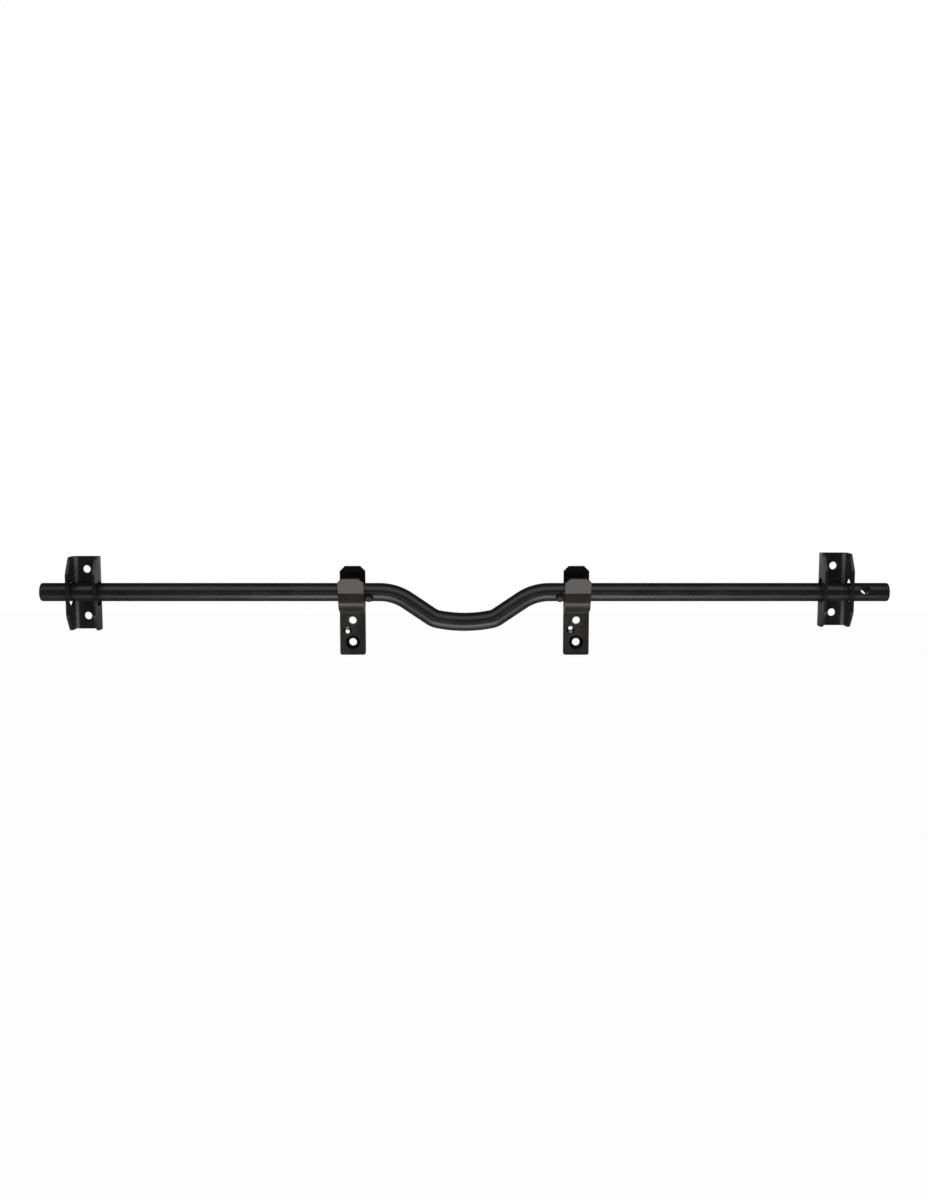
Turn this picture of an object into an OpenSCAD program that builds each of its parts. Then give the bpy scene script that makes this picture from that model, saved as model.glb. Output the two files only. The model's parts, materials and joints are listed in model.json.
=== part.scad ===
// Security bar for a pair of hinged shutters, in millimetres, +Z up.
// The shutter face is the plane y = 0, the viewer is at -Y, and the bar's axis is at z = 0.
// x = 0 is the middle of the grip bend.

/* [Bar] */
// Diameter of the round bar
bar_d = 20; // [18:0.5:21]
// Length of the bar from tip to tip
bar_len = 922; // [902:1:1100]
// Chamfer round each tip of the bar
tip_chamfer = 2; // [0.5:0.25:4]

/* [Grip bend] */
// How far the middle of the bend hangs below the bar's axis
bend_drop = 32.7; // [26:0.1:40]
// Slope of the bend's two flanks, in degrees
bend_slope = 34; // [28:1:40]
// Radius of the bar's axis where each flank leaves the arm
shoulder_r = 54; // [40:1:60]
// Radius of the bar's axis at each lower corner of the bend
knuckle_r = 19.5; // [14:0.5:24]
// Radius of the bar's axis along the shallow bottom of the bend
crown_r = 146; // [120:1:160]
// Angle that the shallow bottom turns through on each side, in degrees
crown_angle = 11.5; // [9:0.5:13]

/* [Padlock hole] */
// Diameter of the hole for the padlock's shackle
padlock_d = 10; // [6:0.5:12]
// Distance of the hole from the bar's right tip
padlock_inset = 27; // [20:1:32]
// Tilt of the hole's front end above level, in degrees
padlock_tilt = 24; // [0:1:40]
// Chamfer round the hole's two mouths
padlock_chamfer = 1; // [0.25:0.25:1.5]

/* [Stop pins] */
// Diameter of each stop pin
pin_d = 9; // [6:0.5:10]
// How far a pin stands out of the bar
pin_stand = 3.5; // [2:0.25:5]
// How deep a pin is set into the bar
pin_depth = 7; // [5:0.5:8]
// Angle of the pins below level, in degrees
pin_drop = 30; // [0:1:45]
// Chamfer round a pin's head
pin_chamfer = 1; // [0.25:0.25:1.5]
// Running gap between a pin and the cradle beside it
pin_gap = 0.5; // [0.4:0.1:2]

/* [End brackets] */
// Width over the two flanges
bracket_w = 32; // [28:0.5:40]
// Height of the web and its flanges
bracket_h = 80; // [70:1:100]
// Depth from the shutter face to the flanges' front edges
bracket_depth = 32; // [31:0.5:36]
// Depth left at the flanges' top and bottom ends
flange_end_depth = 19; // [14:0.5:24]
// Height of the slanted stretch at each end of a flange
flange_taper_h = 17; // [10:0.5:18]
// Radius of each bend between web and flange, on its inner side
bracket_bend_r = 2; // [1.5:0.25:3]
// Distance between the two screw holes
bracket_hole_pitch = 51.5; // [44:0.5:54]
// Diameter of the flange holes that the bar passes through
flange_hole_d = 27; // [26.5:0.25:27.5]
// Distance of the flange holes' centre from the shutter face
flange_hole_y = 15.5; // [15:0.25:16]
// Distance of the left bracket's centre from the bar's left tip
left_bracket_inset = 47.5; // [30:0.5:80]
// Distance of the right bracket's centre from the bar's right tip
right_bracket_inset = 57.5; // [50:0.5:80]
// Height of the left bracket's centre above the bar's axis
left_bracket_z = -1.6; // [-2:0.1:2]
// Height of the right bracket's centre above the bar's axis
right_bracket_z = 2.2; // [-2:0.1:2.2]

/* [Cradles] */
// Thickness of every bent plate
plate_t = 3; // [2.5:0.1:3.5]
// Width of each cradle
cradle_w = 28; // [26:0.5:40]
// Distance of each cradle's centre from the middle
cradle_x = 122.7; // [120:0.1:150]
// Gap between the bar and what it lies on
bar_gap = 0.4; // [0.3:0.05:0.6]
// Height of the hook's lower end below the bar's axis
cradle_drop = 70.4; // [64:0.1:90]
// Height of the sharp inner bend below the bar's axis
crease_drop = 23.3; // [22:0.1:24]
// Height of the backing plate's top above the bar's axis
backing_rise = 27.4; // [20:0.1:34]
// Chamfer on the backing plate's top corners
backing_chamfer = 5.6; // [3:0.1:8]
// Inner radius of the hook's curve below the bar
curl_r = 10.4; // [9:0.1:11]
// Lean of the hook's front wall away from the bar, in degrees, so that the bar wedges against it
wall_lean = 10; // [6:1:14]
// Length of the front wall below the line where it carries the bar
wall_drop = 7.3; // [5:0.1:8]
// Length of the front wall above that line
wall_rise = 2.7; // [1:0.1:5]
// Length of the lip above the front wall
lip_len = 18; // [12:0.5:24]
// Radius of the sharp inner bend between plate and hook
crease_r = 1.5; // [1:0.1:2]
// Lean of the lip away from the bar, in degrees
lip_lean = 23; // [10:1:35]
// Chamfer on the lip's top corners
lip_chamfer = 5.3; // [3:0.1:8]
// Radius of the lower corners
foot_r = 2.2; // [1:0.1:4]

/* [Cradle holes] */
// Diameter of every screw hole
screw_d = 8.4; // [7:0.1:10]
// Height of the upper screw hole below the bar's axis
upper_screw_drop = 32.2; // [31:0.1:33]
// Distance between the two screw holes
cradle_hole_pitch = 24.3; // [22:0.1:26]
// Diameter of the countersink on the lower screw hole
countersink_d = 15.6; // [13:0.1:17]
// Depth of that countersink
countersink_depth = 2.8; // [2:0.1:2.9]
// Diameter of the locating hole in the hook
locating_d = 8.6; // [8.2:0.1:9]
// Distance of the locating hole to the left of the centreline
locating_x = 6; // [5:0.1:7]
// Height of the locating hole below the upper screw hole
locating_drop = 10.8; // [10.5:0.1:11.2]
// Diameter of the locating pip on the backing plate
pip_d = 4.2; // [3.6:0.1:4.6]
// Clearance between the pip and the locating hole's edge
pip_gap = 0.2; // [0.1:0.05:0.4]
// Diameter of the drain hole in the backing plate, beside the pip
drain_d = 4.8; // [4.6:0.1:6]

/* [Hidden] */
$fn = 64;
// Largest turn between two neighbouring points of a bent outline, in degrees
turn_step = 5;
// Number of flats round the bent stretch of the bar
bar_sides = 40;
// Step in radius where the bent stretch meets an arm, so that its flats stay inside the arm's end face
skin_step = 0.03;
// How far the bent stretch reaches into each arm
bend_overlap = 1;
// Overrun of a cutting tool past the face that it cuts
over = 1;
// Clearance round a stop pin in its hole
pin_fit = 0.05;
// How far the pip reaches into the hook's thickness
pip_reach = 2;
bar_r = bar_d / 2;
axis_y = -(plate_t + bar_gap + bar_r);
pin_x = cradle_x - cradle_w / 2 - pin_gap - pin_d / 2;
padlock_x = bar_len / 2 - padlock_inset;
pip_offset = (locating_d - pip_d) / 2 - pip_gap;
drain_offset = (locating_d - drain_d) / 2;
steel = [0.13, 0.13, 0.135];
bright_steel = [0.2, 0.2, 0.205];

// Angles from a to b in equal steps no larger than turn_step
function turns(a, b) = let (n = max(1, ceil(abs(b - a) / turn_step))) [for (i = [0:n]) a + (b - a) * i / n];
// Points of an arc round c, from angle a to angle b
function arc(c, r, a, b) = [for (t = turns(a, b)) [c[0] + r * cos(t), c[1] + r * sin(t)]];

// The bend's axis is worked out from its lowest point outwards, as [x, z, slope].
// Its last point lies inside the arm.
flank_len = (bend_drop - shoulder_r * (1 - cos(bend_slope))
    - knuckle_r * (cos(crown_angle) - cos(bend_slope))
    - crown_r * (1 - cos(crown_angle))) / sin(bend_slope);
knuckle_x = crown_r * sin(crown_angle);
knuckle_z = crown_r * (1 - cos(crown_angle)) - bend_drop;
bend_half = knuckle_x + knuckle_r * (sin(bend_slope) - sin(crown_angle))
    + flank_len * cos(bend_slope) + shoulder_r * sin(bend_slope);
half_bend = concat(
    [for (a = turns(0, crown_angle)) if (a < crown_angle)
        [crown_r * sin(a), crown_r * (1 - cos(a)) - bend_drop, a]],
    [for (a = turns(crown_angle, bend_slope))
        [knuckle_x + knuckle_r * (sin(a) - sin(crown_angle)),
         knuckle_z + knuckle_r * (cos(crown_angle) - cos(a)), a]],
    [for (a = turns(bend_slope, 0))
        [bend_half - shoulder_r * sin(a), -shoulder_r * (1 - cos(a)), a]],
    [[bend_half + bend_overlap, 0, 0]]
);
bend_path = concat(
    [for (i = [len(half_bend) - 1:-1:1]) [-half_bend[i][0], half_bend[i][1], -half_bend[i][2]]],
    half_bend
);

// One closed skin round the bend's axis
module bent_stretch() {
    rings = len(bend_path);
    skin_r = bar_r - skin_step;
    skin = [for (p = bend_path) for (s = [0:bar_sides - 1]) let (t = 360 * s / bar_sides)
        [p[0] - skin_r * cos(t) * sin(p[2]), -skin_r * sin(t), p[1] + skin_r * cos(t) * cos(p[2])]];
    walls = [for (i = [0:rings - 2]) for (s = [0:bar_sides - 1]) let (n = (s + 1) % bar_sides)
        [(i + 1) * bar_sides + s, (i + 1) * bar_sides + n, i * bar_sides + n, i * bar_sides + s]];
    first_end = [for (s = [0:bar_sides - 1]) s];
    last_end = [for (s = [bar_sides - 1:-1:0]) (rings - 1) * bar_sides + s];
    polyhedron(skin, concat(walls, [first_end, last_end]), convexity = 4);
}

// One straight arm, from the bend to the chamfered tip
module arm() {
    rotate([0, 90, 0])
        rotate_extrude()
            polygon([
                [0, bend_half], [bar_r, bend_half],
                [bar_r, bar_len / 2 - tip_chamfer], [bar_r - tip_chamfer, bar_len / 2],
                [0, bar_len / 2]
            ]);
}

// A hole right through the bar, with its mouths chamfered
module padlock_hole() {
    mouth = bar_r + over;
    flare = padlock_chamfer + over;
    translate([padlock_x, 0, 0])
        rotate([90 - padlock_tilt, 0, 0]) {
            cylinder(h = 2 * mouth, d = padlock_d, center = true);
            for (side = [0, 180])
                rotate([side, 0, 0])
                    translate([0, 0, mouth - flare])
                        cylinder(h = flare, d1 = padlock_d, d2 = padlock_d + 2 * flare);
        }
}

// Stands what follows on the bar's surface, pointing out along a stop pin
module at_pin(side) {
    translate([side * pin_x, axis_y, 0])
        rotate([90 + pin_drop, 0, 0])
            children();
}

module lock_bar() {
    color(steel)
        difference() {
            translate([0, axis_y, 0])
                difference() {
                    union() {
                        bent_stretch();
                        arm();
                        mirror([1, 0, 0]) arm();
                    }
                    padlock_hole();
                }
            for (side = [-1, 1])
                at_pin(side)
                    translate([0, 0, bar_r - pin_depth])
                        cylinder(h = pin_depth + over, d = pin_d + 2 * pin_fit);
        }
}

module stop_pin(side) {
    root = bar_r - pin_depth + pin_fit;
    head = bar_r + pin_stand;
    color(bright_steel)
        at_pin(side)
            rotate_extrude()
                polygon([
                    [0, root], [pin_d / 2, root],
                    [pin_d / 2, head - pin_chamfer], [pin_d / 2 - pin_chamfer, head], [0, head]
                ]);
}

// A list of [x, y] points followed by their mirror images, which closes a symmetric outline
function with_mirror(half) = concat(half, [for (i = [len(half) - 1:-1:0]) [-half[i][0], half[i][1]]]);

// The channel's cross-section, seen from above, as [x, y]
module channel_outline() {
    outer_r = bracket_bend_r + plate_t;
    bend_c = [bracket_w / 2 - outer_r, -outer_r];
    polygon(with_mirror(concat(
        arc(bend_c, outer_r, 90, 0),
        [[bracket_w / 2, -bracket_depth], [bracket_w / 2 - plate_t, -bracket_depth]],
        arc(bend_c, bracket_bend_r, 0, 90)
    )));
}

// Side view of the bracket, as [y, z], with slanted ends and rounded tips
module flange_outline() {
    top = bracket_h / 2;
    tip_r = bracket_bend_r;
    half = concat(
        [[0, top]],
        arc([tip_r - flange_end_depth, top - tip_r], tip_r, 90, 155),
        [[-bracket_depth, top - flange_taper_h]]
    );
    polygon(concat(half, [for (i = [len(half) - 1:-1:0]) [half[i][0], -half[i][1]]]));
}

// The bracket with its centre at x = 0 and z = 0
module end_bracket() {
    color(steel)
        difference() {
            intersection() {
                translate([0, 0, -bracket_h / 2])
                    linear_extrude(bracket_h)
                        channel_outline();
                translate([-bracket_w / 2 - over, 0, 0])
                    rotate([90, 0, 90])
                        linear_extrude(bracket_w + 2 * over)
                            flange_outline();
            }
            for (side = [-1, 1])
                translate([0, over, side * bracket_hole_pitch / 2])
                    rotate([90, 0, 0])
                        cylinder(h = plate_t + 2 * over, d = screw_d);
            for (side = [-1, 1])
                translate([side * (bracket_w / 2 - plate_t - bracket_bend_r), -flange_hole_y, 0])
                    rotate([0, side * 90, 0])
                        cylinder(h = plate_t + bracket_bend_r + over, d = flange_hole_d);
        }
}

module left_end_bracket() {
    translate([left_bracket_inset - bar_len / 2, 0, left_bracket_z]) end_bracket();
}

module right_end_bracket() {
    translate([bar_len / 2 - right_bracket_inset, 0, right_bracket_z]) end_bracket();
}

// The hook's side view is a strip of constant thickness, as [y, z] with the front at -y.
// From the plate it turns forward at the crease, runs out to the curve below the bar, rises as the
// front wall and ends in the lip. The bar lies wedged between the front wall and the backing plate.
wall_dir = [-sin(wall_lean), cos(wall_lean)];
wall_out = [-cos(wall_lean), -sin(wall_lean)];
bar_seat = [axis_y, 0] + wall_out * (bar_r + bar_gap);
lip_root = bar_seat + wall_dir * wall_rise;
lip_dir = [-sin(lip_lean), cos(lip_lean)];
lip_out = [-cos(lip_lean), -sin(lip_lean)];
lip_mitre = (wall_out + lip_out) * plate_t / (1 + wall_out * lip_out);
curl_c = bar_seat - wall_dir * wall_drop - wall_out * curl_r;
curl_outer_r = curl_r + plate_t;
crease = [-2 * plate_t, -crease_drop];
run_slope = acos(curl_outer_r / norm(crease - curl_c)) - atan2(crease[0] - curl_c[0], curl_c[1] - crease[1]);
crease_turn = 90 - run_slope;
crease_c = crease - [crease_r, crease_r * tan(crease_turn / 2)];
module hook_strip() {
    run_end = 270 - run_slope;
    polygon(concat(
        [[crease[0], -cradle_drop]],
        arc(crease_c, crease_r, 0, crease_turn),
        arc(curl_c, curl_outer_r, run_end, 180 + wall_lean),
        [lip_root + lip_mitre, lip_root + lip_out * plate_t + lip_dir * lip_len],
        [lip_root + lip_dir * lip_len, lip_root],
        arc(curl_c, curl_r, 180 + wall_lean, run_end),
        arc(crease_c, crease_r + plate_t, crease_turn, 0),
        [[-plate_t, -cradle_drop]]
    ));
}

// Front view of a cradle piece, as [x, z], up to the given height
module cradle_front(rise, chamfer) {
    half_w = cradle_w / 2;
    half = concat(
        [[half_w - chamfer, rise], [half_w, rise - chamfer]],
        arc([half_w - foot_r, foot_r - cradle_drop], foot_r, 0, -90)
    );
    polygon(with_mirror(half));
}

// A slab with that front view, between two depths behind the viewer's side
module cradle_slab(rise, chamfer, front, back) {
    translate([0, back, 0])
        rotate([90, 0, 0])
            linear_extrude(back - front)
                cradle_front(rise, chamfer);
}

// Tools for the two screw holes, through everything at this cradle
module screw_holes() {
    for (drop = [upper_screw_drop, upper_screw_drop + cradle_hole_pitch])
        translate([0, over, -drop])
            rotate([90, 0, 0])
                cylinder(h = 2 * plate_t + 2 * over, d = screw_d);
}

// Stands what follows on the locating hole's centreline, at the shutter face and pointing to the viewer
module at_locating(rise = 0) {
    translate([-locating_x, 0, rise - upper_screw_drop - locating_drop])
        rotate([90, 0, 0])
            children();
}

module cradle_hook(side) {
    flare = (countersink_d - screw_d) / countersink_depth;
    color(steel)
        translate([side * cradle_x, 0, 0])
            difference() {
                intersection() {
                    translate([-cradle_w / 2, 0, 0])
                        rotate([90, 0, 90])
                            linear_extrude(cradle_w)
                                hook_strip();
                    cradle_slab(lip_root[1] + lip_len + over, 0, lip_root[0] - lip_len, 0);
                }
                screw_holes();
                at_locating()
                    cylinder(h = 2 * plate_t + over, d = locating_d);
                translate([0, countersink_depth - 2 * plate_t, -upper_screw_drop - cradle_hole_pitch])
                    rotate([90, 0, 0])
                        cylinder(
                            h = countersink_depth + over,
                            d1 = screw_d, d2 = countersink_d + over * flare
                        );
                for (hand = [0, 1])
                    mirror([hand, 0, 0])
                        lip_corner();
            }
}

// Tool that takes the chamfer off one top corner of the lip, square to the lip
module lip_corner() {
    near = cradle_w / 2 + over;
    translate([0, lip_root[0], lip_root[1]])
        rotate([lip_lean, 0, 0])
            translate([0, over, 0])
                rotate([90, 0, 0])
                    linear_extrude(plate_t + 2 * over)
                        polygon([
                            [near, lip_len + over],
                            [near - lip_chamfer - 2 * over, lip_len + over],
                            [near, lip_len - lip_chamfer - over]
                        ]);
}

// The pip sits beside a drain hole in the plate, and both show through the hook's locating hole.
module backing_plate(side) {
    color(steel)
        translate([side * cradle_x, 0, 0]) {
            difference() {
                cradle_slab(backing_rise, backing_chamfer, -plate_t, 0);
                screw_holes();
                at_locating(side * drain_offset)
                    translate([0, 0, -over])
                        cylinder(h = plate_t + 2 * over, d = drain_d);
            }
            at_locating(-side * pip_offset)
                cylinder(h = plate_t + pip_reach, d = pip_d);
        }
}

lock_bar();
stop_pin(-1);  // left_stop_pin
stop_pin(1);  // right_stop_pin
left_end_bracket();
right_end_bracket();
cradle_hook(-1);  // left_cradle_hook
cradle_hook(1);  // right_cradle_hook
backing_plate(-1);  // left_backing_plate
backing_plate(1);  // right_backing_plate
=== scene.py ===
import json
import math

import bmesh
import bpy
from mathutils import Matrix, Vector


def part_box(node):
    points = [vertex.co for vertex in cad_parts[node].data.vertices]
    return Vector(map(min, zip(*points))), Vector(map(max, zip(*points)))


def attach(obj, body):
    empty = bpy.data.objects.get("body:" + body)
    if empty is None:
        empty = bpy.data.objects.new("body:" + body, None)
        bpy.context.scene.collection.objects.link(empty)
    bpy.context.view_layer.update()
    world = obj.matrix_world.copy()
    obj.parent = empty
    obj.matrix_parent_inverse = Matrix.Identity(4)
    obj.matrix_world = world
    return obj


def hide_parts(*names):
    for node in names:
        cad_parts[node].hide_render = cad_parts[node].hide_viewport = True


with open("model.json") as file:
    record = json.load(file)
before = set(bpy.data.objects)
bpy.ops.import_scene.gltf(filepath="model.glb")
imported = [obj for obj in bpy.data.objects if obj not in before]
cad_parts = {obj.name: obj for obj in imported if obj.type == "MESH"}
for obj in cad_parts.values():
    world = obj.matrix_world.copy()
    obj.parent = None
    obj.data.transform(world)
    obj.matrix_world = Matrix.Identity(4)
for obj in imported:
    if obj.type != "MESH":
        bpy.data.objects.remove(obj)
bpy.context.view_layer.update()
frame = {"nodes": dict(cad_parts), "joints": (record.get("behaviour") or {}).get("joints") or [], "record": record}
mm = 0.001
near = 0.1 * mm                                 # corners this close to a place count as on it
mounts = {m["name"]: m for m in frame["record"]["mounts"]}
joints = {j["name"]: j for j in frame["joints"]}
axisY = joints["bar_turn"]["pos_m"][1]          # depth of the bar's own axis
print("frame loaded:", len(frame["nodes"]), "nodes")

plate = {
    "thick": 3 * mm,          # every bent plate
    "edgeRound": 0.45 * mm,   # sheared edges, softened by the coat
    "roundAngle": 25,         # edges sharper than this are rounded
    "edgeSteps": 4,
    "sharpAngle": 11,         # edges flatter than this stay smooth
    "drillSides": 64,
    "drillLength": 30 * mm,   # longer than any wall is deep
    "sheetWeld": 0.001 * mm,  # corners of a flat sheet that are closer than this become one
    "weld": 0.002 * mm,       # the same for a finished piece
}


# Working in edit mode

def takeUp(piece):
    bpy.ops.object.select_all(action="DESELECT")
    piece.select_set(True)
    bpy.context.view_layer.objects.active = piece


def startPiece(name):
    piece = bpy.context.object
    piece.name = name
    piece.data.name = name
    bpy.ops.object.transform_apply(location=True, rotation=True, scale=True)
    return piece


def openMesh(piece):
    takeUp(piece)
    bpy.ops.object.mode_set(mode="EDIT")
    bpy.ops.mesh.select_mode(type="VERT")
    bpy.ops.mesh.select_all(action="DESELECT")


def closeMesh():
    bpy.ops.object.mode_set(mode="OBJECT")


def pick(piece, wanted):
    # selects the corners for which wanted(place) holds, with the edges and faces between them
    mesh = bmesh.from_edit_mesh(piece.data)
    bpy.ops.mesh.select_all(action="DESELECT")
    for corner in mesh.verts:
        corner.select = bool(wanted(corner.co))
    mesh.select_flush(True)
    bmesh.update_edit_mesh(piece.data)


def push(step):
    bpy.ops.mesh.extrude_region_move(TRANSFORM_OT_translate={"value": tuple(step)})


def swing(degrees, centre, axis, stepSize):
    # spin counts turns the other way round its axis, so the axis is reversed
    steps = max(2, math.ceil(abs(degrees) / stepSize))
    turn = Vector(axis) * (-1 if degrees > 0 else 1)
    bpy.ops.mesh.spin(steps=steps, dupli=False, angle=math.radians(abs(degrees)),
                      center=tuple(centre), axis=tuple(turn))


def roundCorners(width, steps):
    bpy.ops.mesh.bevel(affect="VERTICES", offset_type="OFFSET", offset=width, segments=steps, profile=0.5)


def applyLast(piece):
    takeUp(piece)
    bpy.ops.object.modifier_apply(modifier=piece.modifiers[-1].name)


def thicken(piece, thick, towards):
    # the sheet's normals are made to agree, and the wall grows to the side of towards
    openMesh(piece)
    bpy.ops.mesh.select_all(action="SELECT")
    bpy.ops.mesh.remove_doubles(threshold=plate["sheetWeld"])
    bpy.ops.mesh.normals_make_consistent(inside=False)
    closeMesh()
    facing = sum(face.area * face.normal.dot(Vector(towards)) for face in piece.data.polygons)
    wall = piece.modifiers.new("wall", "SOLIDIFY")
    wall.thickness = thick
    wall.use_even_offset = True
    wall.offset = 1 if facing > 0 else -1
    applyLast(piece)


def joinShapes(piece, tool, how):
    join = piece.modifiers.new("join", "BOOLEAN")
    join.operation = how
    join.solver = "EXACT"
    join.object = tool
    applyLast(piece)
    bpy.data.objects.remove(tool, do_unlink=True)


def roundTool(radius, endRadius, length, middle, turn, sides=plate["drillSides"]):
    # a drill or countersink, with radius at its local bottom and endRadius at its top
    bpy.ops.object.select_all(action="DESELECT")
    bpy.ops.mesh.primitive_cone_add(vertices=sides, radius1=radius, radius2=endRadius, depth=length,
                                    location=tuple(middle), rotation=turn)
    return startPiece("tool")


def softenEdges(piece, width=None):
    soft = piece.modifiers.new("soft edges", "BEVEL")
    soft.width = width or plate["edgeRound"]
    soft.segments = plate["edgeSteps"]
    soft.limit_method = "ANGLE"
    soft.angle_limit = math.radians(plate["roundAngle"])
    soft.use_clamp_overlap = True
    applyLast(piece)


def finishPiece(piece, node, body, material):
    openMesh(piece)
    bpy.ops.mesh.select_all(action="SELECT")
    bpy.ops.mesh.remove_doubles(threshold=plate["weld"])
    bpy.ops.mesh.normals_make_consistent(inside=False)
    closeMesh()
    takeUp(piece)
    bpy.ops.object.shade_smooth_by_angle(angle=math.radians(plate["sharpAngle"]))
    piece.data.materials.clear()
    piece.data.materials.append(material)
    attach(piece, body)
    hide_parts(node)
    print("made", piece.name, len(piece.data.polygons), "faces")


# Finishes: one black powder coat, with the tone and sheen that each piece shows, and painted highlights and shade
# in some places

def blackCoat(name, facts):
    material = bpy.data.materials.new(name)
    material.use_nodes = True
    nodes = material.node_tree.nodes
    links = material.node_tree.links
    shader = nodes["Principled BSDF"]
    place = nodes.new("ShaderNodeTexCoord")

    def speckle(size, detail):
        noise = nodes.new("ShaderNodeTexNoise")
        noise.inputs["Scale"].default_value = 1 / size
        noise.inputs["Detail"].default_value = detail
        links.new(place.outputs["Object"], noise.inputs["Vector"])
        return noise.outputs["Fac"]

    def between(source, low, high):
        ramp = nodes.new("ShaderNodeMapRange")
        ramp.inputs["From Min"].default_value = facts["noiseLow"]
        ramp.inputs["From Max"].default_value = facts["noiseHigh"]
        ramp.inputs["To Min"].default_value = low
        ramp.inputs["To Max"].default_value = high
        links.new(source, ramp.inputs["Value"])
        return ramp.outputs["Result"]

    def blend(first, second, share):
        # first is a colour or another node's output
        mix = nodes.new("ShaderNodeMix")
        mix.data_type = "RGBA"
        if isinstance(first, tuple):
            mix.inputs["A"].default_value = first
        else:
            links.new(first, mix.inputs["A"])
        mix.inputs["B"].default_value = second
        links.new(share, mix.inputs["Factor"])
        return mix.outputs["Result"]

    cloud = speckle(facts["cloudSize"], facts["cloudDetail"])
    peel = speckle(facts["peelSize"], facts["peelDetail"])
    dust = speckle(facts["dustSize"], facts["dustDetail"])
    tone = blend((*facts["dark"], 1), (*facts["light"], 1), between(cloud, 0, 1))
    rough = between(cloud, facts["gloss"][0], facts["gloss"][1])
    if "sink" in facts:
        # painted shade: made metal with a near-black colour, the countersinks reflect almost nothing and read as
        # deep black
        sink = around(nodes, links, place.outputs["Object"], facts["sink"])
        links.new(sink, shader.inputs["Metallic"])
        tone = blend(tone, (*facts["sink"]["colour"], 1), sink)
    if "corner" in facts:
        # painted highlight: paler colour in a strip round the given spot
        corner = around(nodes, links, place.outputs["Object"], facts["corner"])
        tone = blend(tone, (*facts["corner"]["colour"], 1), corner)
    if "pipFace" in facts:
        # paler colour on whatever lies in front of the given depth
        split = nodes.new("ShaderNodeSeparateXYZ")
        links.new(place.outputs["Object"], split.inputs["Vector"])
        front = nodes.new("ShaderNodeMath")
        front.operation = "LESS_THAN"
        front.inputs[1].default_value = facts["pipFace"]["frontY"]
        links.new(split.outputs["Y"], front.inputs[0])
        tone = blend(tone, (*facts["pipFace"]["colour"], 1), front.outputs["Value"])
    links.new(tone, shader.inputs["Base Color"])
    links.new(rough, shader.inputs["Roughness"])
    shader.inputs["Specular IOR Level"].default_value = facts["shine"]
    low = nodes.new("ShaderNodeBump")
    low.inputs["Strength"].default_value = facts["peel"]
    low.inputs["Distance"].default_value = facts["peelHeight"]
    links.new(peel, low.inputs["Height"])
    fine = nodes.new("ShaderNodeBump")
    fine.inputs["Strength"].default_value = facts["dust"]
    fine.inputs["Distance"].default_value = facts["dustHeight"]
    links.new(dust, fine.inputs["Height"])
    links.new(low.outputs["Normal"], fine.inputs["Normal"])
    links.new(fine.outputs["Normal"], shader.inputs["Normal"])
    return material


def around(nodes, links, place, facts):
    # 1 within facts["full"] of a spot and 0 past facts["none"], mirrored about facts["middle"]
    def step(operation, vector, value=None):
        node = nodes.new("ShaderNodeVectorMath")
        node.operation = operation
        links.new(vector, node.inputs[0])
        if value:
            node.inputs[1].default_value = value
        return node.outputs["Value" if operation == "DISTANCE" else "Vector"]

    mirrored = step("ABSOLUTE", step("SUBTRACT", place, facts["middle"]))
    distance = step("DISTANCE", step("MULTIPLY", mirrored, facts["across"]), facts["spot"])
    ring = nodes.new("ShaderNodeMapRange")
    ring.interpolation_type = "SMOOTHSTEP"
    ring.inputs["From Min"].default_value = facts["full"]
    ring.inputs["From Max"].default_value = facts["none"]
    ring.inputs["To Min"].default_value = 1
    ring.inputs["To Max"].default_value = 0
    links.new(distance, ring.inputs["Value"])
    return ring.outputs["Result"]


coatFacts = {
    "dark": (0.008, 0.008, 0.009),
    "light": (0.014, 0.014, 0.015),
    "gloss": (0.26, 0.31),
    "shine": 0.35,
    "noiseLow": 0.35,                # the noise between these two values spans each range
    "noiseHigh": 0.65,
    "cloudSize": 26 * mm,            # broad changes of tone and gloss
    "cloudDetail": 3,
    "peelSize": 2.2 * mm,            # orange peel
    "peelDetail": 2,
    "peelHeight": 0.1 * mm,
    "peel": 0.04,
    "dustSize": 0.5 * mm,            # fine grain
    "dustDetail": 1,
    "dustHeight": 0.03 * mm,
    "dust": 0.02,
}
barCoat = blackCoat("barCoat", coatFacts)
pinCoat = blackCoat("pinCoat", coatFacts | {"gloss": (0.3, 0.36), "shine": 0.14})
bendHighlightFacts = {                  # painted highlight: a pale strip in the end brackets' inner bends, standing in for the light that they catch
    "across": (1, 1, 0),
    "spot": (12.1 * mm, 3.2 * mm, 0),
    "full": 0.8 * mm,
    "none": 3.6 * mm,
    "colour": (0.12, 0.12, 0.12),
}
bracketCoats = {}
# each end bracket's coat carries a painted highlight in its inner bends
for side in ("left", "right"):
    corner = bendHighlightFacts | {"middle": (mounts[side + "_bracket_screws"]["pos_m"][0], 0, 0)}
    bracketCoats[side] = blackCoat(side + "BracketCoat", coatFacts | {
        "gloss": (0.26, 0.32),
        "shine": 0.4,
        "corner": corner,
    })
cradleScrews = mounts["right_cradle_screws"]
lowScrewZ = cradleScrews["pos_m"][2] - cradleScrews["dims"]["spacing_y_mm"] * mm / 2
sinkShadeFacts = {                    # painted shade in the countersinks, one in each cradle: near-black and without reflection
    "middle": (0, 0, 0),
    "across": (1, 0, 1),
    "spot": (abs(cradleScrews["pos_m"][0]), 0, abs(lowScrewZ)),
    "full": 7.6 * mm,
    "none": 7.8 * mm,
    "colour": (0.003, 0.003, 0.003),
}
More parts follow.
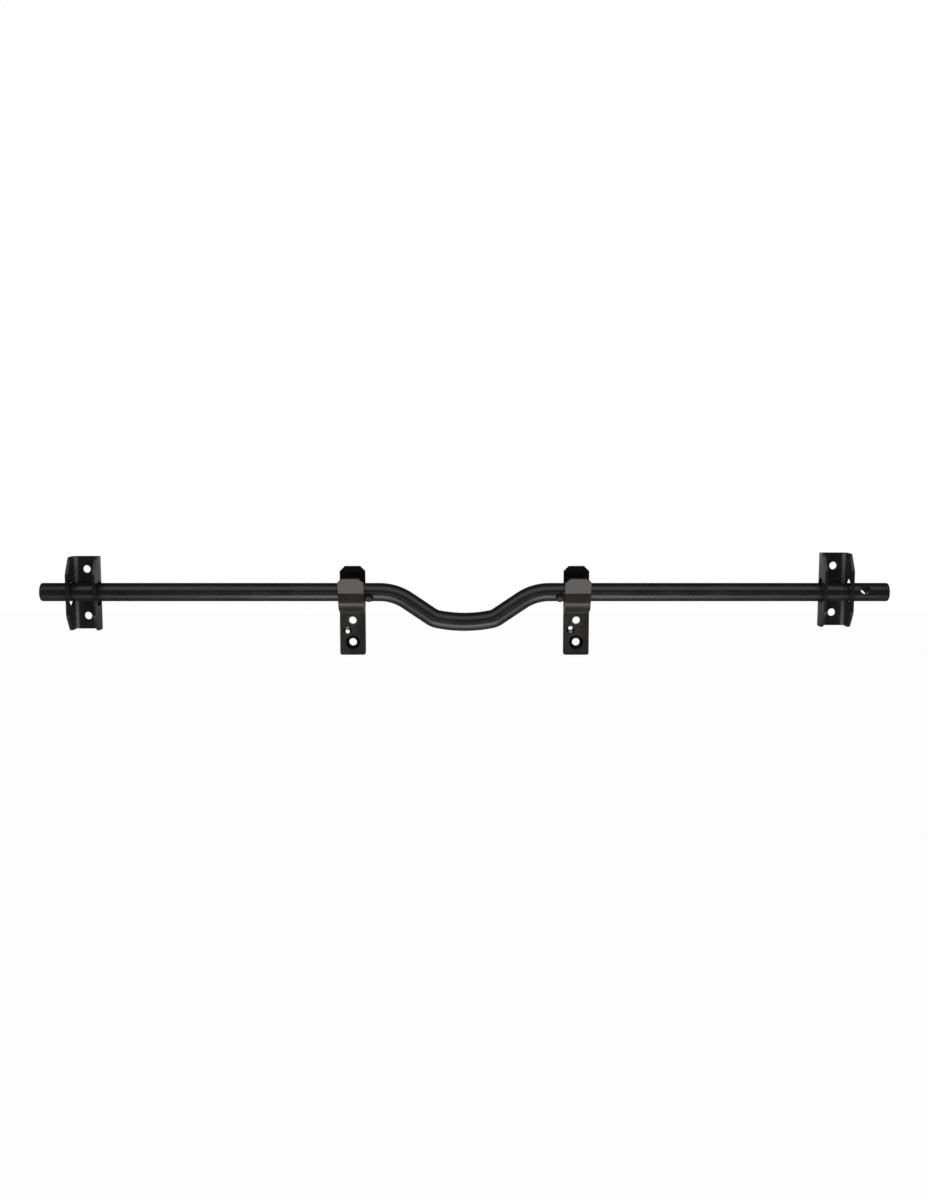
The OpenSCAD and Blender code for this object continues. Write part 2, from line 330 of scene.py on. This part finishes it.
# painted light: the hooks' coat is paler and warmer than the other pieces', for the warm light that their lips
# catch
cradleCoat = blackCoat("cradleCoat", coatFacts | {
    "dark": (0.014, 0.0135, 0.0135),
    "light": (0.022, 0.021, 0.02),
    "gloss": (0.22, 0.26),
    "shine": 0.24,
    "sink": sinkShadeFacts,
})
pipFaceFacts = {                    # paler grey on the front face of each backing plate's pip, in front of this depth
    "frontY": -4.8 * mm,
    "colour": (0.17, 0.17, 0.17),
}
# painted shade: the backing plates' coat is darker and duller than the other pieces', for the shade they sit in
# behind the hooks
plateCoat = blackCoat("plateCoat", coatFacts | {
    "dark": (0.003, 0.003, 0.003),
    "light": (0.006, 0.006, 0.006),
    "gloss": (0.4, 0.5),
    "shine": 0.12,
    "pipFace": pipFaceFacts,
})
print("finishes mixed")


# The bar, bent as a bar bender does it: each stretch is pushed out, each bend swung round its centre

barFacts = {
    "sides": 128,
    "bendDrop": 32.7 * mm,
    "slope": 34,
    "shoulder": 54 * mm,
    "knuckle": 19.5 * mm,
    "crown": 146 * mm,
    "crownAngle": 11.5,
    "bendStep": 2.5,          # degrees between the rings of a bend
    "tipRound": 2 * mm,
    "tipSteps": 10,
    "holeTilt": 24,
    "holeSides": 72,
    "holeFlare": 1 * mm,
    "holeMargin": 9 * mm,     # the arm has a ring this far to each side of the padlock hole
    "pinDrop": 30,
    "pinRadius": 4.5 * mm,
    "pinMargin": 7 * mm,
    "pinDepth": 7 * mm,
    "pinGroove": 0.5 * mm,    # dark ring round each pin
    "pinStart": 2 * mm,       # the pin's drill starts this far outside the bar
}


def bendShape():
    f = barFacts
    slope, crownAngle = math.radians(f["slope"]), math.radians(f["crownAngle"])
    drop = (f["shoulder"] * (1 - math.cos(slope)) + f["knuckle"] * (math.cos(crownAngle) - math.cos(slope))
            + f["crown"] * (1 - math.cos(crownAngle)))
    flank = (f["bendDrop"] - drop) / math.sin(slope)
    half = (f["crown"] * math.sin(crownAngle) + f["knuckle"] * (math.sin(slope) - math.sin(crownAngle))
            + flank * math.cos(slope) + f["shoulder"] * math.sin(slope))
    return flank, half


def makeBar():
    f = barFacts
    low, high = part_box("lock_bar")
    radius = (high[1] - low[1]) / 2
    flank, half = bendShape()
    hole = Vector(mounts["padlock_hole"]["pos_m"])
    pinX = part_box("right_stop_pin")[0][0] + f["pinRadius"]
    bpy.ops.object.select_all(action="DESELECT")
    bpy.ops.mesh.primitive_circle_add(vertices=f["sides"], radius=radius, fill_type="NOTHING",
                                      location=(low[0], axisY, 0), rotation=(0, math.pi / 2, 0))
    bar = startPiece("securityBar")
    openMesh(bar)
    bpy.ops.mesh.select_all(action="SELECT")
    here, heading = Vector((low[0], axisY, 0)), 0

    def along(length):
        nonlocal here
        step = Vector((math.cos(heading), 0, -math.sin(heading))) * length
        push(step)
        here = here + step

    def bend(degrees, bendRadius):
        # a positive bend turns the bar downwards
        nonlocal here, heading
        side = math.copysign(1, degrees)
        centre = here - Vector((math.sin(heading), 0, math.cos(heading))) * bendRadius * side
        swing(degrees, centre, (0, 1, 0), f["bendStep"])
        heading += math.radians(degrees)
        here = centre + Vector((math.sin(heading), 0, math.cos(heading))) * bendRadius * side

    def armTo(places):
        for x in places:
            along(x - here.x)

    armTo([-pinX - f["pinMargin"], -half])
    bend(f["slope"], f["shoulder"])
    along(flank)
    bend(f["crownAngle"] - f["slope"], f["knuckle"])
    bend(-2 * f["crownAngle"], f["crown"])
    bend(f["crownAngle"] - f["slope"], f["knuckle"])
    along(flank)
    bend(f["slope"], f["shoulder"])
    armTo([pinX + f["pinMargin"], hole.x - f["holeMargin"], hole.x + f["holeMargin"], high[0]])
    for tip in (low[0], high[0]):
        pick(bar, lambda place: abs(place.x - tip) < near)
        bpy.ops.mesh.edge_face_add()
    pick(bar, lambda place: abs(place.x - low[0]) < near or abs(place.x - high[0]) < near)
    bpy.ops.mesh.bevel(affect="EDGES", offset=f["tipRound"], segments=f["tipSteps"], profile=0.5)
    bpy.ops.mesh.select_all(action="SELECT")
    bpy.ops.mesh.normals_make_consistent(inside=False)
    closeMesh()
    drillPadlockHole(bar, hole, radius)
    for side in (-1, 1):
        seatPin(bar, side * pinX, radius)
    finishPiece(bar, "lock_bar", "bar", barCoat)
    return pinX, radius


def drillPadlockHole(bar, hole, radius):
    # one drill cuts the hole and the chamfer round each mouth
    f = barFacts
    flare = f["holeFlare"]
    holeRadius = mounts["padlock_hole"]["dims"]["r_mm"] * mm
    out = Vector(mounts["padlock_hole"]["axis"])
    wide = (holeRadius + 2 * flare) / holeRadius
    here = hole + out * (radius + flare)
    bpy.ops.object.select_all(action="DESELECT")
    turn = (math.radians(90 - f["holeTilt"]), 0, 0)
    bpy.ops.mesh.primitive_circle_add(vertices=f["holeSides"], radius=holeRadius * wide, fill_type="NGON",
                                      location=tuple(here), rotation=turn)
    drill = startPiece("tool")
    openMesh(drill)
    bpy.ops.mesh.select_all(action="SELECT")
    for step, growth in ((2 * flare, 1 / wide), (2 * (radius - flare), 1), (2 * flare, wide)):
        here = here - out * step
        push(-out * step)
        bpy.ops.transform.resize(value=(growth, growth, growth), center_override=tuple(here))
    bpy.ops.mesh.select_all(action="SELECT")
    bpy.ops.mesh.normals_make_consistent(inside=False)
    closeMesh()
    joinShapes(bar, drill, "DIFFERENCE")


def pinDirection():
    drop = math.radians(barFacts["pinDrop"])
    return Vector((0, -math.cos(drop), -math.sin(drop)))


def seatPin(bar, x, radius):
    f = barFacts
    out = pinDirection()
    length = f["pinDepth"] + f["pinStart"]
    middle = Vector((x, axisY, 0)) + out * (radius - f["pinDepth"] + length / 2)
    turn = (math.radians(90 + f["pinDrop"]), 0, 0)
    seatRadius = f["pinRadius"] + f["pinGroove"]
    joinShapes(bar, roundTool(seatRadius, seatRadius, length, middle, turn), "DIFFERENCE")


# Stop pins: turned studs with a chamfered head

pinFacts = {
    "sides": 64,
    "stand": 3.5 * mm,
    "footGap": 0.05 * mm,     # below the pin, in its seat
    "headChamfer": 1.2 * mm,
    "headInset": 1.7 * mm,    # ring on the flat of the head
}


def makePin(name, node, x, radius):
    f = barFacts
    out = pinDirection()
    root = radius - f["pinDepth"] + pinFacts["footGap"]
    head = radius + pinFacts["stand"]
    middle = Vector((x, axisY, 0)) + out * (root + head) / 2
    bpy.ops.object.select_all(action="DESELECT")
    turn = (math.radians(90 + f["pinDrop"]), 0, 0)
    bpy.ops.mesh.primitive_cylinder_add(vertices=pinFacts["sides"], radius=f["pinRadius"],
                                        depth=head - root, location=tuple(middle), rotation=turn)
    pin = startPiece(name)
    openMesh(pin)
    centre = Vector((x, axisY, 0))
    pick(pin, lambda place: (place - centre).dot(out) > head - near)
    bpy.ops.mesh.bevel(affect="EDGES", offset=pinFacts["headChamfer"], segments=1)
    pick(pin, lambda place: (place - centre).dot(out) > head - near)
    bpy.ops.mesh.inset(thickness=pinFacts["headInset"])
    closeMesh()
    finishPiece(pin, node, "bar", pinCoat)


# End brackets: a channel of 3 mm plate, with slanted flange ends

bracketFacts = {
    "bend": 2 * mm,           # inner radius of each bend
    "bendStep": 7.5,
    "endDepth": 19 * mm,      # depth left at the flanges' ends
    "taper": 17 * mm,         # height of each slanted end
    "passage": 13.5 * mm,     # radius of the holes that the bar passes through
    "passageDepth": 15.5 * mm,
    "passageSides": 96,
    "passageReach": 2 * mm,   # the passages' drill reaches this far past the flange
    "tipRound": 2.4 * mm,
    "tipSteps": 6,
    "noseRound": 3 * mm,
    "noseSteps": 4,
}


def makeEndBracket(name, node, body, screws):
    f = bracketFacts
    low, high = (Vector(c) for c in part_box(node))
    middle = (low + high) / 2
    height, depth = high.z - low.z, high.y - low.y
    outerBend = f["bend"] + plate["thick"]
    webHalf = (high.x - low.x) / 2 - outerBend
    bpy.ops.object.select_all(action="DESELECT")
    bpy.ops.mesh.primitive_plane_add(size=1, location=(middle.x, 0, middle.z), rotation=(math.pi / 2, 0, 0))
    bpy.context.object.scale = (2 * webHalf, height, 1)
    bracket = startPiece(name)
    openMesh(bracket)
    for side in (-1, 1):
        pick(bracket, lambda place: abs(place.y) < near and (place.x - middle.x) * side > webHalf - near)
        swing(-90 * side, (middle.x + side * webHalf, -outerBend, 0), (0, 0, 1), f["bendStep"])
        push((0, outerBend - depth, 0))
    slant = Vector((0, -f["taper"], depth - f["endDepth"]))
    for side in (-1, 1):
        bpy.ops.mesh.select_all(action="SELECT")
        bpy.ops.mesh.bisect(plane_co=(middle.x, -f["endDepth"], middle.z + side * height / 2),
                            plane_no=(0, slant.y, slant.z * side), clear_outer=True)
    end, nose = height / 2, height / 2 - f["taper"]
    pick(bracket, lambda place: abs(abs(place.z - middle.z) - end) < near
         and abs(place.y + f["endDepth"]) < near)
    roundCorners(f["tipRound"], f["tipSteps"])
    pick(bracket, lambda place: abs(abs(place.z - middle.z) - nose) < near
         and abs(place.y + depth) < near)
    roundCorners(f["noseRound"], f["noseSteps"])
    closeMesh()
    thicken(bracket, plate["thick"], (0, -1, 0))
    for side in (-1, 1):
        reach = plate["thick"] + f["bend"] + f["passageReach"]
        place = (middle.x + side * (webHalf + reach / 2), -f["passageDepth"], middle.z)
        drill = roundTool(f["passage"], f["passage"], reach, place, (0, math.pi / 2, 0), f["passageSides"])
        joinShapes(bracket, drill, "DIFFERENCE")
    drillScrewHoles(bracket, screws)
    softenEdges(bracket)
    finishPiece(bracket, node, body, bracketCoats["left" if middle.x < 0 else "right"])


def drillScrewHoles(piece, mountName):
    dims = mounts[mountName]["dims"]
    radius = dims["hole_r_mm"] * mm
    centre = Vector(mounts[mountName]["pos_m"])
    for side in (-0.5, 0.5):
        place = centre + Vector((0, 0, side * dims["spacing_y_mm"] * mm))
        drill = roundTool(radius, radius, plate["drillLength"], place, (math.pi / 2, 0, 0))
        joinShapes(piece, drill, "DIFFERENCE")


# Cradle hooks: one strip, bent forward at the crease, curled up below the bar and turned out at the lip

hookFacts = {
    "crease": 1.5 * mm,       # inner radius of the sharp bend above the plate
    "creaseDrop": 23.3 * mm,
    "creaseStep": 6,
    "barGap": 0.4 * mm,
    "curl": 10.4 * mm,        # inner radius of the curve below the bar
    "curlStep": 3,
    "wallLean": 10,           # the front wall leans out, and the bar wedges against it
    "wallDrop": 7.3 * mm,     # front wall below and above the line that carries the bar
    "wallRise": 2.7 * mm,
    "lip": 18 * mm,
    "lipLean": 23,
    "lipCut": 5.3 * mm,
    "footRound": 2.2 * mm,
    "footSteps": 6,
    "edgeRound": 0.7 * mm,
    "sinkRadius": 7.8 * mm,
    "sinkDepth": 2.8 * mm,
    "locatingRadius": 4.3 * mm,
    "locatingX": 6 * mm,
    "locatingDrop": 10.8 * mm,   # below the upper screw hole
}


def hookPath(barRadius):
    # the hook's inner side as seen from its end, in (y, z)
    f = hookFacts
    thick = plate["thick"]
    wall = math.radians(f["wallLean"])
    wallUp = Vector((-math.sin(wall), math.cos(wall)))
    wallOut = Vector((-math.cos(wall), -math.sin(wall)))
    seat = Vector((axisY, 0)) + wallOut * (barRadius + f["barGap"])
    curlCentre = seat - wallUp * f["wallDrop"] - wallOut * f["curl"]
    crease = Vector((-2 * thick, -f["creaseDrop"]))
    reach = crease - curlCentre
    run = math.acos((f["curl"] + thick) / reach.length) - math.atan2(reach.x, -reach.y)
    turn = math.pi / 2 - run
    creaseCentre = crease - Vector((f["crease"], f["crease"] * math.tan(turn / 2)))
    runStart = creaseCentre + Vector((math.cos(turn), math.sin(turn))) * (f["crease"] + thick)
    runEnd = curlCentre - Vector((math.sin(run), math.cos(run))) * f["curl"]
    return creaseCentre, turn, runEnd - runStart, curlCentre, wallUp


def makeHook(name, node, screws, barRadius):
    f = hookFacts
    low, high = (Vector(c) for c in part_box(node))
    middleX, half = (low.x + high.x) / 2, (high.x - low.x) / 2
    thick = plate["thick"]
    creaseCentre, turn, runStep, curlCentre, wallUp = hookPath(barRadius)
    bpy.ops.object.select_all(action="DESELECT")
    bpy.ops.mesh.primitive_plane_add(size=1, rotation=(math.pi / 2, 0, 0),
                                     location=(middleX, -thick, (low.z + creaseCentre[1]) / 2))
    bpy.context.object.scale = (2 * half, creaseCentre[1] - low.z, 1)
    hook = startPiece(name)
    openMesh(hook)
    pick(hook, lambda place: place.z > creaseCentre[1] - near)
    swing(math.degrees(turn), (0, *creaseCentre), (1, 0, 0), f["creaseStep"])
    push((0, *runStep))
    swing(f["wallLean"] - math.degrees(turn), (0, *curlCentre), (1, 0, 0), f["curlStep"])
    push((0, *wallUp * (f["wallDrop"] + f["wallRise"])))
    lean = math.radians(f["lipLean"])
    push((0, -f["lip"] * math.sin(lean), f["lip"] * math.cos(lean)))
    roundCorners(f["lipCut"], 1)
    pick(hook, lambda place: place.z < low.z + near)
    roundCorners(f["footRound"], f["footSteps"])
    closeMesh()
    thicken(hook, thick, (0, -1, 0))
    drillScrewHoles(hook, screws)
    lower = lowerScrew(screws)
    flare = (f["sinkRadius"] - mounts[screws]["dims"]["hole_r_mm"] * mm) / f["sinkDepth"]
    sink = roundTool(f["sinkRadius"] - f["sinkDepth"] * flare, f["sinkRadius"] + f["sinkDepth"] * flare,
                     2 * f["sinkDepth"], (lower.x, -2 * thick, lower.z), (math.pi / 2, 0, 0))
    drill = roundTool(f["locatingRadius"], f["locatingRadius"], plate["drillLength"], locating(screws),
                      (math.pi / 2, 0, 0))
    joinShapes(hook, drill, "DIFFERENCE")
    softenEdges(hook, f["edgeRound"])
    joinShapes(hook, sink, "DIFFERENCE")     # cut last, so that its rim stays crisp
    finishPiece(hook, node, "cradles", cradleCoat)


def lowerScrew(screws):
    centre = Vector(mounts[screws]["pos_m"])
    return centre - Vector((0, 0, mounts[screws]["dims"]["spacing_y_mm"] * mm / 2))


def locating(screws):
    upper = 2 * Vector(mounts[screws]["pos_m"]) - lowerScrew(screws)
    return upper - Vector((hookFacts["locatingX"], 0, hookFacts["locatingDrop"]))


# Backing plates: flat, with cropped top corners, a drain hole and the pip that keeps the hook straight

backingFacts = {
    "topCut": 5.6 * mm,
    "pipRadius": 2.1 * mm,
    "pipReach": 5 * mm,       # from the shutter face
    "pipShift": 2 * mm,
    "drainRadius": 2.4 * mm,
    "drainShift": 1.9 * mm,
    "edgeRound": 0.35 * mm,
}


def makeBackingPlate(name, node, screws, side):
    f = backingFacts
    low, high = (Vector(c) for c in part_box(node))
    thick = plate["thick"]
    bpy.ops.object.select_all(action="DESELECT")
    bpy.ops.mesh.primitive_plane_add(size=1, rotation=(math.pi / 2, 0, 0),
                                     location=((low.x + high.x) / 2, 0, (low.z + high.z) / 2))
    bpy.context.object.scale = (high.x - low.x, high.z - low.z, 1)
    backing = startPiece(name)
    openMesh(backing)
    pick(backing, lambda place: place.z > high.z - near)
    roundCorners(f["topCut"], 1)
    pick(backing, lambda place: place.z < low.z + near)
    roundCorners(hookFacts["footRound"], hookFacts["footSteps"])
    closeMesh()
    thicken(backing, thick, (0, -1, 0))
    drillScrewHoles(backing, screws)
    up = Vector((0, 0, side))
    drainMiddle = locating(screws) + up * f["drainShift"]
    turn = (math.pi / 2, 0, 0)
    drain = roundTool(f["drainRadius"], f["drainRadius"], plate["drillLength"], drainMiddle, turn)
    joinShapes(backing, drain, "DIFFERENCE")
    pipMiddle = locating(screws) - up * f["pipShift"] - Vector((0, f["pipReach"] / 2, 0))
    pip = roundTool(f["pipRadius"], f["pipRadius"], f["pipReach"], pipMiddle, turn)
    joinShapes(backing, pip, "UNION")
    softenEdges(backing, f["edgeRound"])
    finishPiece(backing, node, "cradles", plateCoat)


pinX, barRadius = makeBar()
makePin("leftStopPin", "left_stop_pin", -pinX, barRadius)
makePin("rightStopPin", "right_stop_pin", pinX, barRadius)
makeEndBracket("leftEndBracket", "left_end_bracket", "left_bracket", "left_bracket_screws")
makeEndBracket("rightEndBracket", "right_end_bracket", "right_bracket", "right_bracket_screws")
makeHook("leftCradleHook", "left_cradle_hook", "left_cradle_screws", barRadius)
makeHook("rightCradleHook", "right_cradle_hook", "right_cradle_screws", barRadius)
makeBackingPlate("leftBackingPlate", "left_backing_plate", "left_cradle_screws", -1)
makeBackingPlate("rightBackingPlate", "right_backing_plate", "right_cradle_screws", 1)


# The studio: white backdrop, pale floor well below the bar, softboxes round the front of it

white = (1, 1, 1)
warm = (1, 0.965, 0.93)
studio = {
    "floorZ": -0.95,
    "floorSize": 14,
    "floorTone": 0.7,
    "floorRough": 0.9,
    "floorGlow": 0.98,        # share of plain white in the floor, as the camera sees it
    "behind": 1.0,            # white backdrop, as reflections see it
    "around": 0.05,           # dim room on the camera's side
    "backdropFrom": 0.94,     # how far a direction points back, where the backdrop starts and is full
    "backdropTo": 1.0,
    "fill": 0.05,             # level of the soft light from all round
    "boxes": {
        "topBox": {"place": (0, -0.36, 0.52), "size": (1.4, 0.5), "power": 3.6, "colour": white},
        "midStrip": {"place": (0, -1.2, -0.14), "size": (1.1, 0.035), "power": 0.9, "colour": white},
        "lowBox": {"place": (0, -0.6, -0.75), "size": (0.8, 0.46), "power": 4.3, "colour": warm},
        "lowWide": {"place": (0, -0.61, -0.77), "size": (1.6, 0.46), "power": 4.1, "colour": warm},
        "underBox": {"place": (0, -0.22, -0.84), "size": (0.8, 0.34), "power": 0.9, "colour": warm},
        "leftBox": {"place": (-1.5, -0.5, 0.1), "size": (0.5, 0.9), "power": 3, "colour": white},
        "rightBox": {"place": (1.5, -0.5, 0.1), "size": (0.5, 0.9), "power": 3, "colour": white},
    },
}


def makeWorld():
    world = bpy.data.worlds.new("whiteStudio")
    bpy.context.scene.world = world
    world.use_nodes = True
    nodes = world.node_tree.nodes
    links = world.node_tree.links
    backdrop = nodes["Background"]
    backdrop.inputs["Color"].default_value = (1, 1, 1, 1)
    rays = nodes.new("ShaderNodeLightPath")
    direction = nodes.new("ShaderNodeTexCoord")
    split = nodes.new("ShaderNodeSeparateXYZ")
    links.new(direction.outputs["Generated"], split.inputs["Vector"])
    wall = nodes.new("ShaderNodeMapRange")
    wall.inputs["From Min"].default_value = studio["backdropFrom"]
    wall.inputs["From Max"].default_value = studio["backdropTo"]
    wall.inputs["To Min"].default_value = studio["around"]
    wall.inputs["To Max"].default_value = studio["behind"]
    links.new(split.outputs["Y"], wall.inputs["Value"])

    def choose(flag, whenOn, whenOff):
        # whenOn or whenOff is a number or another node's output
        pickOne = nodes.new("ShaderNodeMix")
        pickOne.data_type = "FLOAT"
        links.new(flag, pickOne.inputs["Factor"])
        for socket, value in (("B", whenOn), ("A", whenOff)):
            if isinstance(value, (int, float)):
                pickOne.inputs[socket].default_value = value
            else:
                links.new(value, pickOne.inputs[socket])
        return pickOne.outputs["Result"]

    level = choose(rays.outputs["Is Glossy Ray"], wall.outputs["Result"], studio["fill"])
    level = choose(rays.outputs["Is Transmission Ray"], 1, level)
    level = choose(rays.outputs["Is Camera Ray"], 1, level)
    links.new(level, backdrop.inputs["Strength"])


def makeFloor():
    bpy.ops.object.select_all(action="DESELECT")
    bpy.ops.mesh.primitive_plane_add(size=studio["floorSize"], location=(0, 0, studio["floorZ"]))
    floor = startPiece("paleFloor")
    material = bpy.data.materials.new("paleFloor")
    material.use_nodes = True
    nodes = material.node_tree.nodes
    links = material.node_tree.links
    matt = nodes["Principled BSDF"]
    matt.inputs["Base Color"].default_value = (*[studio["floorTone"]] * 3, 1)
    matt.inputs["Roughness"].default_value = studio["floorRough"]
    glow = nodes.new("ShaderNodeEmission")
    glow.inputs["Strength"].default_value = 1
    rays = nodes.new("ShaderNodeLightPath")
    share = nodes.new("ShaderNodeMath")
    share.operation = "MULTIPLY"
    share.inputs[1].default_value = studio["floorGlow"]
    links.new(rays.outputs["Is Camera Ray"], share.inputs[0])
    blend = nodes.new("ShaderNodeMixShader")
    links.new(share.outputs["Value"], blend.inputs["Fac"])
    links.new(matt.outputs["BSDF"], blend.inputs[1])
    links.new(glow.outputs["Emission"], blend.inputs[2])
    links.new(blend.outputs["Shader"], nodes["Material Output"].inputs["Surface"])
    floor.data.materials.append(material)


def makeSoftbox(name, facts):
    lamp = bpy.data.lights.new(name, "AREA")
    lamp.shape = "RECTANGLE"
    lamp.size, lamp.size_y = facts["size"]
    lamp.energy = facts["power"]
    lamp.color = facts["colour"]
    box = bpy.data.objects.new(name, lamp)
    bpy.context.collection.objects.link(box)
    box.location = facts["place"]
    aim = Vector((0, axisY, 0)) - box.location
    box.rotation_euler = aim.to_track_quat("-Z", "Y").to_euler()
    box.visible_camera = False


cameraFacts = {
    "distance": 1.5,
    "pitch": 7,
    "lens": 41.28,
    "sensor": 36,
    "aim": (-0.0005, -0.0134, -0.0087),
}


def makeCamera():
    f = cameraFacts
    pitch = math.radians(f["pitch"])
    data = bpy.data.cameras.new("camera")
    data.lens = f["lens"]
    data.sensor_width = f["sensor"]
    camera = bpy.data.objects.new("camera", data)
    bpy.context.collection.objects.link(camera)
    camera.location = Vector(f["aim"]) - Vector((0, math.cos(pitch), -math.sin(pitch))) * f["distance"]
    camera.rotation_euler = (math.pi / 2 - pitch, 0, 0)
    bpy.context.scene.camera = camera


makeWorld()
makeFloor()
for name, facts in studio["boxes"].items():
    makeSoftbox(name, facts)
makeCamera()
bpy.context.scene.view_settings.view_transform = "Standard"
print("studio set")
